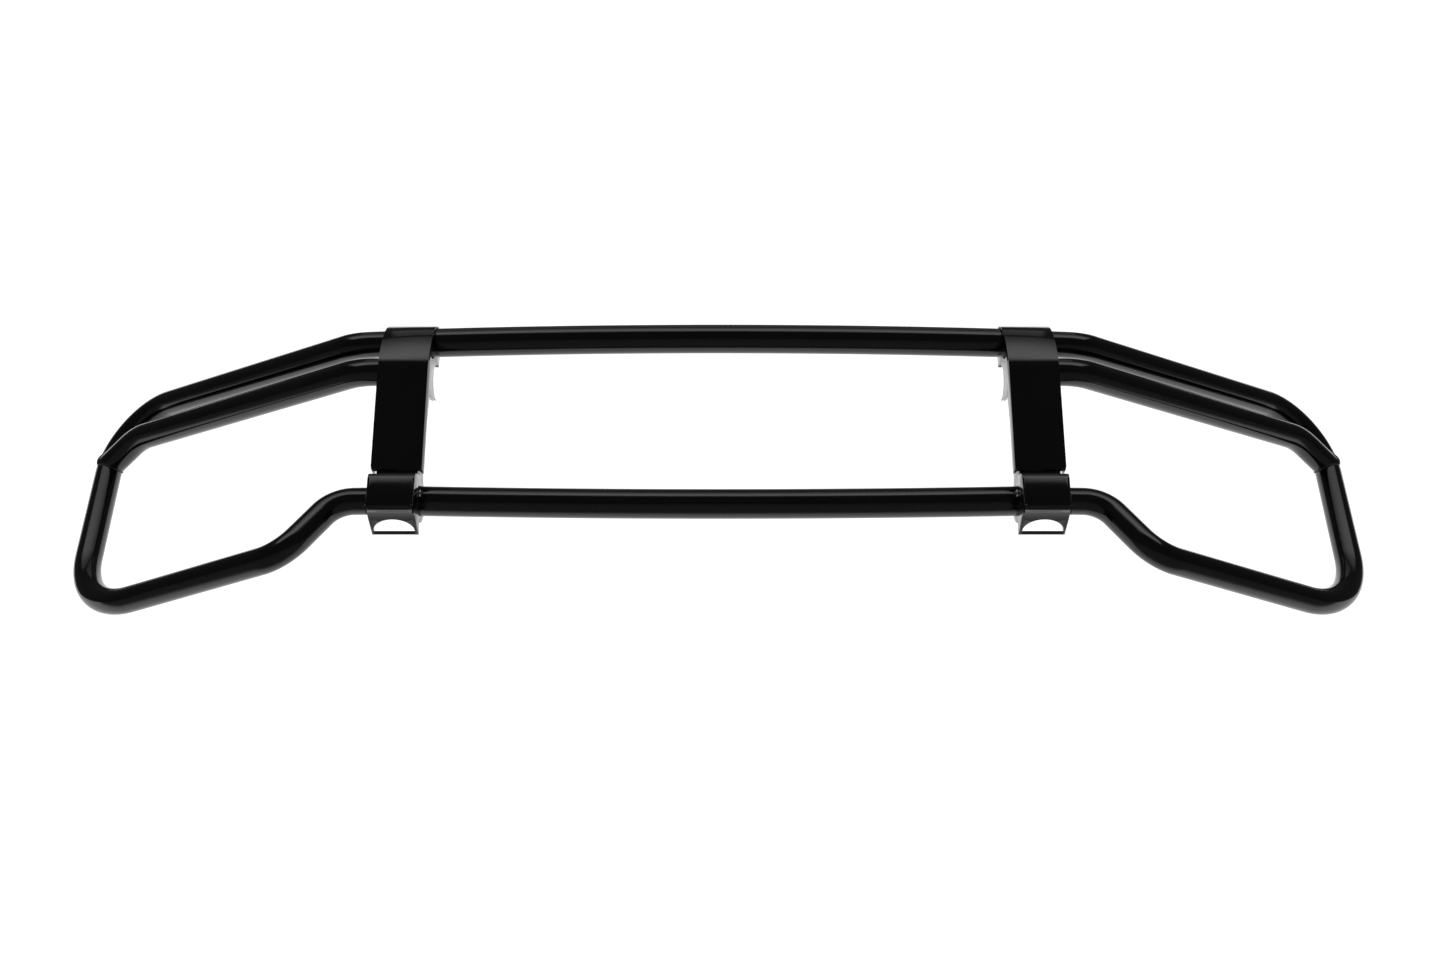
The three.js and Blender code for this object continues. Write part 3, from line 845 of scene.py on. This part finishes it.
def clamp_block():
    """A hollow nose round the lower tube, with a D-shaped window through its receding chin."""
    nose = swoop(BLOCK_SHELF, (-64, -14.5), (-64.5, -8), 10)
    chin = swoop((-44, -25), (-50, -19), (-55, -16.6), 6)
    brow = swoop((-52, 26), (-49, BLOCK_ROOF), (-43, BLOCK_ROOF), 10)
    skin = [(-22, BLOCK_FOOT), (-26, BLOCK_FOOT), *chin, *nose, (-62, 6), *brow, (-10, BLOCK_ROOF)]
    x0, x1 = UPRIGHT_X - BLOCK_HALF, UPRIGHT_X + BLOCK_HALF
    bm, near, far = extruded([*skin, (-10, 0), (-22, -30)], x0, x1)
    last = len(skin) - 1
    round_rims(bm, near[1:last], far[1:last], BLOCK_CORNER)
    body = finish_mesh(bm, "block", HARDWARE_ANGLE)
    lining = offset(skin, BLOCK_SKIN)
    roof = BLOCK_ROOF - BLOCK_SKIN
    hollow = [(-22, -60), *lining[1:-1], (-30, roof), (-30, 60), (30, 60), (30, -60)]
    bm, _, _ = extruded(hollow, x0 + BLOCK_SKIN, x1 - BLOCK_SKIN)
    pocket = finish_mesh(bm, "pocket")
    arch = [math.pi * i / 48 for i in range(49)]
    shape = [(WINDOW_HALF * math.cos(a), WINDOW_RISE * math.sin(a)) for a in arch]
    shape = filleted(shape, WINDOW_CORNER, 40)
    window_rings = [[(UPRIGHT_X + x, y, WINDOW_SILL + z) for x, z in shape] for y in (-80, 0)]
    bm, _, _ = prism(*window_rings)
    window = finish_mesh(bm, "window")
    tube = rod("tube", (x0 - 5, *LOWER_AXIS), (x1 + 5, *LOWER_AXIS), CROSS_R + 0.6, 96)
    screw = rod("screw", (x0 - 5, *BLOCK_SCREW), (x1 + 5, *BLOCK_SCREW), 3.3, 32)
    carve(body, [pocket, window, tube, screw], edge=0.45, sharp=PRESSED_ANGLE)
    place_pair(body, "lower_clamp_block", "gloss")


def clamp_saddle():
    ear_rear = SADDLE_OUT * math.cos(math.radians(EAR_ANGLE))
    ear_start = math.degrees(math.acos(EAR_FRONT / SADDLE_IN))
    outline = [
        *arc(LOWER_AXIS, SADDLE_OUT, -45, EAR_ANGLE, 30),
        (ear_rear, EAR_TOP),
        (EAR_FRONT, EAR_TOP),
        *arc(LOWER_AXIS, SADDLE_IN, ear_start, -45, 34),
    ]
    bm = slab(filleted(outline, 1.6, 30), UPRIGHT_X - SADDLE_HALF, UPRIGHT_X + SADDLE_HALF, edge=0.8)
    place_pair(finish_mesh(bm, "saddle"), "lower_clamp_saddle", "gloss")


# Hardware


def hexagon(bm, origin, axis, flats, low, high, hole=0.0):
    """A chamfered hexagon head or nut from height low to high."""
    turn = Vector((0, 0, 1)).rotation_difference(Vector(axis).normalized())
    corner = flats / math.cos(math.pi / 6) / 2
    inner = flats / 2 * 0.97
    steps = 8
    sides = 6 * steps

    def ring(height, limit):
        verts = []
        for k in range(sides):
            angle = 2 * math.pi * k / sides
            local = (angle + math.pi / 6) % (math.pi / 3) - math.pi / 6
            radius = min(flats / 2 / math.cos(local), limit)
            spot = Vector((radius * math.cos(angle), radius * math.sin(angle), height))
            verts.append(bm.verts.new(Vector(origin) + turn @ spot))
        return verts

    slope = (corner - inner) * 0.58
    middle = (inner + corner) / 2
    rings = [
        ring(low, inner), ring(low + slope / 2, middle), ring(low + slope, corner),
        ring(high - slope, corner), ring(high - slope / 2, middle), ring(high, inner),
    ]
    if hole:
        mouth = hole * 1.12
        rings += [ring(high, mouth), ring(high - 0.5, hole), ring(low + 0.5, hole), ring(low, mouth)]
        sweep_rings(bm, rings, closed=True)
    else:
        sweep_rings(bm, rings)
        bm.faces.new(rings[0])
        bm.faces.new(rings[-1])


def threads(radius, start, end, pitch, depth):
    """Profile points of a threaded shank, as rounded grooves."""
    points = []
    height = start
    while height + pitch <= end:
        points += [(radius, height), (radius - depth, height + pitch * 0.5)]
        height += pitch
    points.append((radius, height))
    return points


def clamp_bolt(name, x):
    seat = CLAMP_SEAT + 1.8
    front = -20.0
    bm = bmesh.new()
    profile = [(0, front), (3.2, front), (4.0, front + 0.9), *threads(4.0, front + 0.9, 2, 1.25, 0.5),
               (4.0, seat + 0.05), (0, seat + 0.05)]
    lathe(bm, profile, (x, 0, CLAMP_Z), (0, 1, 0), 32)
    hexagon(bm, (x, 0, CLAMP_Z), (0, 1, 0), 12.6 * math.cos(math.pi / 6), seat, seat + 5.3)
    place_pair(finish_mesh(bm, "bolt", HARDWARE_ANGLE), name, "zinc")


def washer(name, x):
    seat = CLAMP_SEAT
    bm = bmesh.new()
    hole, edge, thick = 4.4, 8.0, 1.6
    profile = [(hole, seat + 0.2), (hole + 0.2, seat), (edge - 0.3, seat), (edge, seat + 0.35),
               (edge, seat + thick - 0.35), (edge - 0.3, seat + thick), (hole + 0.2, seat + thick),
               (hole, seat + thick - 0.2), (hole, seat + 0.2)]
    lathe(bm, profile, (x, 0, CLAMP_Z), (0, 1, 0), 64)
    place_pair(finish_mesh(bm, "washer", HARDWARE_ANGLE), name, "zinc")


FACE_PITCH = math.atan2(CREASE[0] - FACE_FOOT[0], CREASE[1] - FACE_FOOT[1])
FACE_NORMAL = Vector((0, math.cos(FACE_PITCH), -math.sin(FACE_PITCH)))


def face_point(z):
    """The middle of the cover's face at height z."""
    y = FACE_FOOT[0] + (z - FACE_FOOT[1]) * math.tan(FACE_PITCH)
    return Vector((UPRIGHT_X, y, z))


def cover_stud(name, z):
    bm = bmesh.new()
    start, end = COVER_SKIN + 0.4, COVER_SKIN + 12
    profile = [(0, start), (3.0, start), *threads(3.0, start + 1, end - 0.9, 1.0, 0.4),
               (2.3, end), (0, end)]
    lathe(bm, profile, face_point(z), FACE_NORMAL, 32)
    place_pair(finish_mesh(bm, "stud", HARDWARE_ANGLE), name, "zinc")


def cover_nut(name, z):
    bm = bmesh.new()
    seat = BRACKET_GAP + BRACKET_WEB + 0.4
    hexagon(bm, face_point(z), FACE_NORMAL, 10.0, seat, seat + 5, hole=3.2)
    place_pair(finish_mesh(bm, "nut", HARDWARE_ANGLE), name, "zinc")


def block_screw(name, side):
    """A button-head screw with a round socket."""
    face = BLOCK_HALF
    under = face + 0.4
    bm = bmesh.new()
    angles = [math.pi / 20 * i for i in range(8)]
    shank = [(0, face - 8), (2.4, face - 8), *threads(3.0, face - 7.2, face - 1, 1.0, 0.4), (3.0, under)]
    dome = [(4.4 * math.cos(a), under + 2.2 * math.sin(a)) for a in angles]
    socket = [(1.7, face + 2.45), (1.45, face + 2.3), (1.45, face + 1.0), (0, face + 0.7)]
    lathe(bm, [*shank, *dome, *socket], (UPRIGHT_X, *BLOCK_SCREW), (side, 0, 0), 36)
    place_pair(finish_mesh(bm, "screw", HARDWARE_ANGLE), name, "zinc")


def foot_plate(front, back):
    """The outline of an upright plate from front to back."""
    return [(front, FOOT_LOW), (front, FOOT_HIGH), (back, FOOT_HIGH), (back, FOOT_LOW)]


def foot_bolt_holes():
    return [rod("hole", (UPRIGHT_X, 0, z), (UPRIGHT_X, 70, z), FOOT_HOLE, 64) for z in FOOT_BOLTS]


def mount_foot():
    """A folded channel: a rear face with two bolt holes and an ear each side."""
    x0, x1 = UPRIGHT_X - FOOT_HALF, UPRIGHT_X + FOOT_HALF
    ear = filleted([*EAR_FEET, (FOOT_FACE, FOOT_HIGH), (FOOT_FACE, FOOT_LOW)], FOOT_CORNER, 30)
    back = foot_plate(FOOT_FACE - FOOT_THICK, FOOT_FACE)
    body = finish_mesh(slab(back, x0, x1, edge=0.6), "foot")
    carve(body, foot_bolt_holes(), edge=0.5)
    ears = finish_mesh(joined(slab(ear, x0, x0 + FOOT_EAR), slab(ear, x1 - FOOT_EAR, x1)), "ears")
    both = bmesh.new()
    both.from_mesh(body.data)
    both.from_mesh(ears.data)
    both.to_mesh(body.data)
    both.free()
    bpy.data.objects.remove(ears)
    body.data.shade_smooth()
    body.data.set_sharp_from_angle(angle=math.radians(SMOOTH_ANGLE))
    place_pair(body, "mount_foot", "gloss")


def mount_pad():
    x0, x1 = UPRIGHT_X - FOOT_HALF, UPRIGHT_X + FOOT_HALF
    front = FOOT_FACE + 0.4
    body = finish_mesh(slab(foot_plate(front, front + PAD_THICK), x0, x1, edge=1.0), "pad")
    place_pair(carve(body, foot_bolt_holes(), edge=0.4), "mount_pad", "rubber")


cross_tube("top_cross_tube", UPPER_AXIS, UPPER_BOW)
cross_tube("lower_cross_tube", LOWER_AXIS, LOWER_BOW)
wing_loop()
brow_tube()
upright_cover()
upright_bracket()
clamp_block()
clamp_saddle()
joint_spigot("top_joint_spigot", UPPER_AXIS)
joint_spigot("lower_joint_spigot", LOWER_AXIS)
mount_foot()
mount_pad()
for where, shift in (("inner", -CLAMP_SPREAD), ("outer", CLAMP_SPREAD)):
    clamp_bolt("clamp_bolt_" + where, UPRIGHT_X + shift)
    washer("clamp_washer_" + where, UPRIGHT_X + shift)
for where, height in zip(("lower", "upper"), STUD_HEIGHTS):
    cover_stud("cover_stud_" + where, height)
    cover_nut("cover_nut_" + where, height)
block_screw("block_screw_inner", -1)
block_screw("block_screw_outer", 1)


# Stage, in metres: a lit pale sweep behind and below, one soft box above the front, a dim room elsewhere

FLOOR_DROP = 0.55
BACKDROP_Y = 6.0
FLOOR_FRONT = -9.0
SWEEP_LIGHT = 1.0
FRONT_LIGHT = 0.03
FLOOR_FADE = (-0.34, -0.02)
SOFTBOX_LIGHT = 1.7
SOFTBOX_HEIGHT = 3.6
SOFTBOX_SPAN = (-2.8, -1.8, 0.2)
SOFTBOX_EDGE = 0.15
SOFTBOX_HALF = 3.5
SWEEP_RADIUS = 1.6
SWEEP_HALF = 10
SWEEP_HEIGHT = 5.5
ROOM_LIGHT = 0.06
OVERHEAD_WATTS = 5


def glow(name, low, high, start, end):
    """A pale matt surface that glows from low at y = start to high at y = end."""
    material, nodes, links, shader = new_material(name)
    geometry = nodes.new("ShaderNodeNewGeometry")
    split = nodes.new("ShaderNodeSeparateXYZ")
    links.new(geometry.outputs["Position"], split.inputs["Vector"])
    level = nodes.new("ShaderNodeMapRange")
    level.interpolation_type = "SMOOTHSTEP"
    level.inputs["From Min"].default_value = start
    level.inputs["From Max"].default_value = end
    level.inputs["To Min"].default_value = low
    level.inputs["To Max"].default_value = high
    links.new(split.outputs["Y"], level.inputs["Value"])
    links.new(level.outputs["Result"], shader.inputs["Emission Strength"])
    shader.inputs["Emission Color"].default_value = (1, 1, 1, 1)
    shader.inputs["Base Color"].default_value = (0.35, 0.35, 0.35, 1)
    shader.inputs["Roughness"].default_value = 0.9
    shader.inputs["Specular IOR Level"].default_value = 0.0
    return material


def stage_sheet(name, profile, half_width, material):
    """A sheet drawn by a (y, z) profile, level across X."""
    bm = bmesh.new()
    sides = [[bm.verts.new((x, y, z)) for y, z in profile] for x in (-half_width, half_width)]
    for i in range(len(profile) - 1):
        bm.faces.new((sides[0][i], sides[1][i], sides[1][i + 1], sides[0][i + 1]))
    mesh = bpy.data.meshes.new(name)
    bm.to_mesh(mesh)
    bm.free()
    mesh.shade_smooth()
    obj = bpy.data.objects.new(name, mesh)
    obj.data.materials.append(material)
    bpy.context.scene.collection.objects.link(obj)


def build_stage():
    """A floor that curves up into a backdrop behind the guard, and the soft box in two sheets."""
    low = cad_box[0][2] - FLOOR_DROP
    bend = arc((BACKDROP_Y - SWEEP_RADIUS, low + SWEEP_RADIUS), SWEEP_RADIUS, -90, 0, 24)
    sweep = [(FLOOR_FRONT, low), (-2.0, low), *bend, (BACKDROP_Y, low + SWEEP_HEIGHT)]
    lit = glow("lit_sweep", FRONT_LIGHT, SWEEP_LIGHT, *FLOOR_FADE)
    stage_sheet("stage_floor", sweep, SWEEP_HALF, lit)
    front, middle, back = SOFTBOX_SPAN
    near = [(front, SOFTBOX_HEIGHT), (middle, SOFTBOX_HEIGHT)]
    far = [(middle, SOFTBOX_HEIGHT), (back, SOFTBOX_HEIGHT)]
    rising = glow("box_front", 0, SOFTBOX_LIGHT, front, middle)
    falling = glow("box_back", SOFTBOX_LIGHT, SOFTBOX_EDGE, middle, back)
    stage_sheet("stage_softbox_front", near, SOFTBOX_HALF, rising)
    stage_sheet("stage_softbox_back", far, SOFTBOX_HALF, falling)


def area_light(name, place_at, aim, size, power):
    data = bpy.data.lights.new(name, "AREA")
    data.shape = "RECTANGLE"
    data.size, data.size_y = size
    data.energy = power
    obj = bpy.data.objects.new(name, data)
    obj.location = place_at
    obj.rotation_euler = (Vector(aim) - Vector(place_at)).to_track_quat("-Z", "Y").to_euler()
    bpy.context.scene.collection.objects.link(obj)


def build_lights():
    world = bpy.data.worlds.new("room")
    world.use_nodes = True
    background = world.node_tree.nodes["Background"]
    background.inputs["Color"].default_value = (0.95, 0.97, 1.0, 1)
    background.inputs["Strength"].default_value = ROOM_LIGHT
    bpy.context.scene.world = world
    area_light("overhead", (0, 1.4, 4.2), (0, 0.2, 0), (4.0, 1.6), OVERHEAD_WATTS)


# The camera, for a picture 1445 wide: focal length and sideways shift in its pixels, place in millimetres

PHOTO_WIDTH = 1445
FOCAL = 1405
AXIS_SHIFT = 4
CAMERA_BACK = 1770.0
CAMERA_DROP = -129.4
CAMERA_TILT = 5.0


def build_camera():
    data = bpy.data.cameras.new("camera")
    data.sensor_width = 36
    data.lens = data.sensor_width * FOCAL / PHOTO_WIDTH
    data.shift_x = AXIS_SHIFT / PHOTO_WIDTH
    camera = bpy.data.objects.new("camera", data)
    camera.location = fixed((0, -CAMERA_BACK, CAMERA_DROP))
    camera.rotation_euler = (math.radians(90 + CAMERA_TILT), 0, 0)
    bpy.context.scene.collection.objects.link(camera)
    bpy.context.scene.camera = camera


build_stage()
build_lights()
build_camera()
bpy.context.scene.view_settings.view_transform = "Standard"
